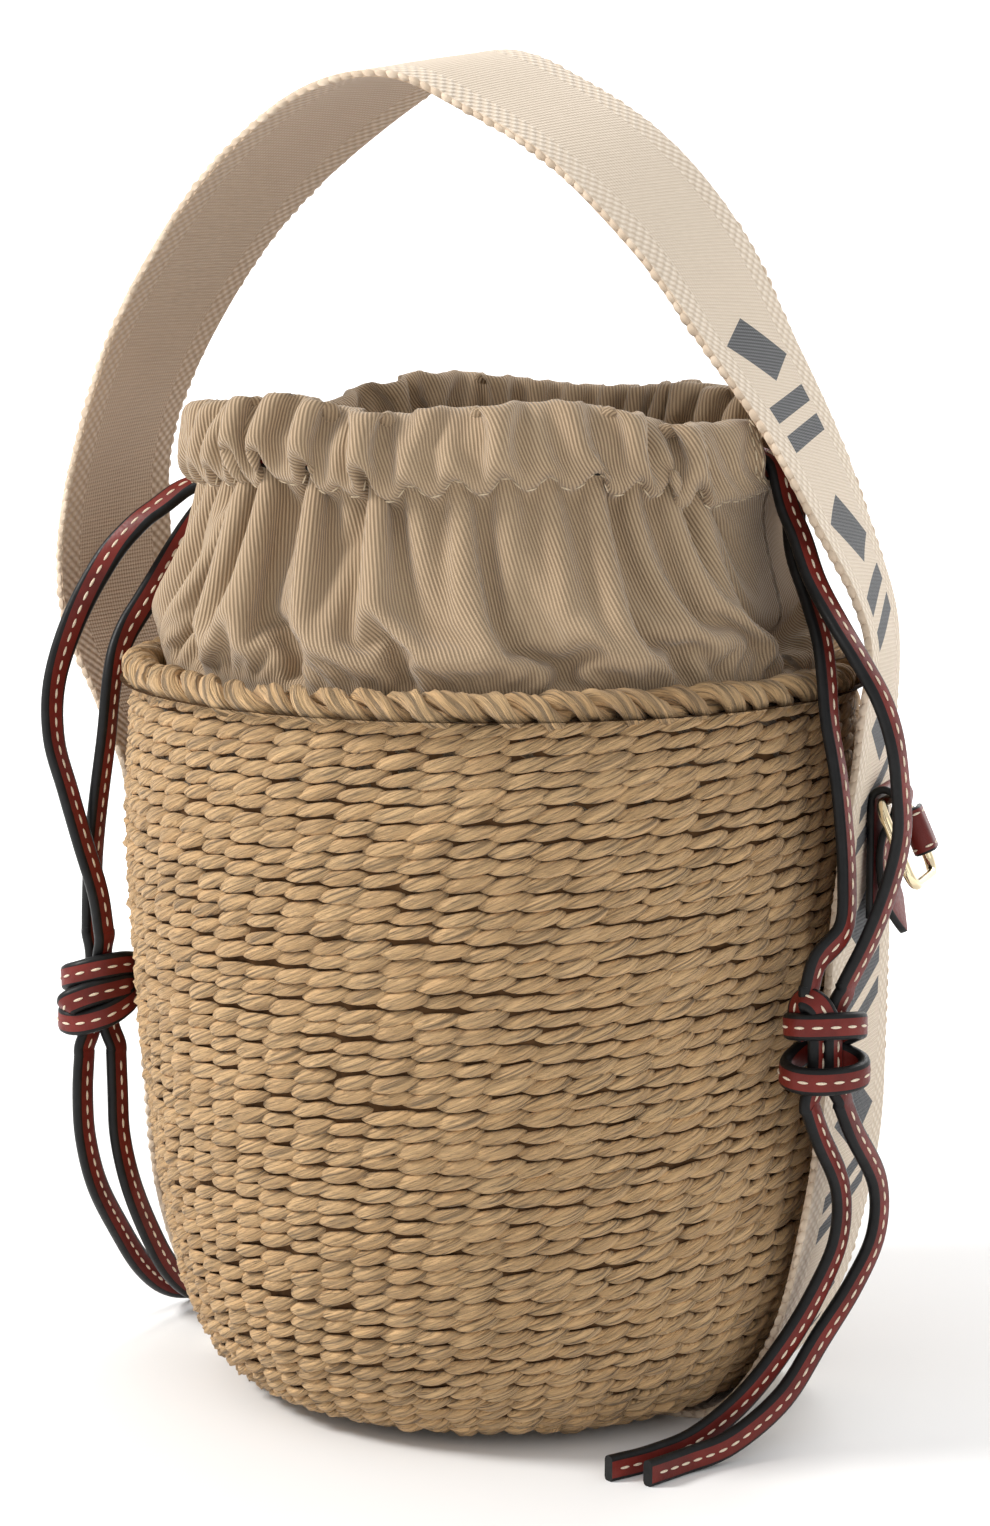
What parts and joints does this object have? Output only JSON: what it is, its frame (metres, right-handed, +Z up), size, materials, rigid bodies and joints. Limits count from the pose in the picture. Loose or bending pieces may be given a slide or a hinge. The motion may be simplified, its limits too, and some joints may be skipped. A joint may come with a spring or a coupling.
{
  "type": "bucket bag",
  "caption": "Woven straw bucket bag with a drawstring cloth pouch, side webbing, a swinging webbing handle and leather laces.",
  "frame": {"origin": "middle of the base on the surface that the bag stands on, under the basket's axis", "axes": "+Z up along the basket's axis, X through the two sides where the webbing climbs the basket, -Y the front"},
  "size_m": [0.2532, 0.2, 0.3594],
  "materials": {
    "raffia": "twisted paper straw, matte",
    "lining": "plain cotton lining",
    "twill": "cotton twill with a clear diagonal rib",
    "webbing": "flat cotton webbing with ribbed edges",
    "leather": "smooth red brown with black painted edges and cream stitches",
    "pale_gold": "polished pale gold plating"
  },
  "bodies": {
    "basket": {"basket_wall": "raffia", "basket_base": "raffia", "rim_braid": "raffia", "lining_wall": "lining", "lining_base": "lining", "pouch_skirt": "twill", "casing_front": "twill", "casing_back": "twill", "lace_in_casing_left": "leather", "lace_in_casing_right": "leather", "body_webbing": "webbing", "tab_strip": "leather"},
    "handle": {"handle_webbing": "webbing"},
    "ring": {"ring": "pale_gold", "ring_wrap": "leather"},
    "left_drawstring": {"cord_left_front": "leather", "cord_left_back": "leather", "knot_left": "leather", "tail_left_front": "leather", "tail_left_back": "leather"},
    "right_drawstring": {"cord_right_front": "leather", "cord_right_back": "leather", "knot_right": "leather", "tail_right_front": "leather", "tail_right_back": "leather"}
  },
  "joints": [
    {"name": "handle_swing", "type": "hinge", "parent": "basket", "child": "handle", "pos_m": [0, 0.005, 0.2], "axis": [-1, 0, 0], "range_deg": [-4, 65]},
    {"name": "ring_swing", "type": "hinge", "parent": "basket", "child": "ring", "pos_m": [0.11048, 0.0054, 0.1655], "axis": [0.0872, -0.9962, 0], "range_deg": [0, 100]},
    {"name": "left_drawstring_swing", "type": "hinge", "parent": "basket", "child": "left_drawstring", "pos_m": [-0.0775, 0, 0.244], "axis": [-1, 0, 0], "range_deg": [0, 9]},
    {"name": "right_drawstring_swing", "type": "hinge", "parent": "basket", "child": "right_drawstring", "pos_m": [0.0775, 0, 0.254], "axis": [-1, 0, 0], "range_deg": [0, 9]}
  ]
}
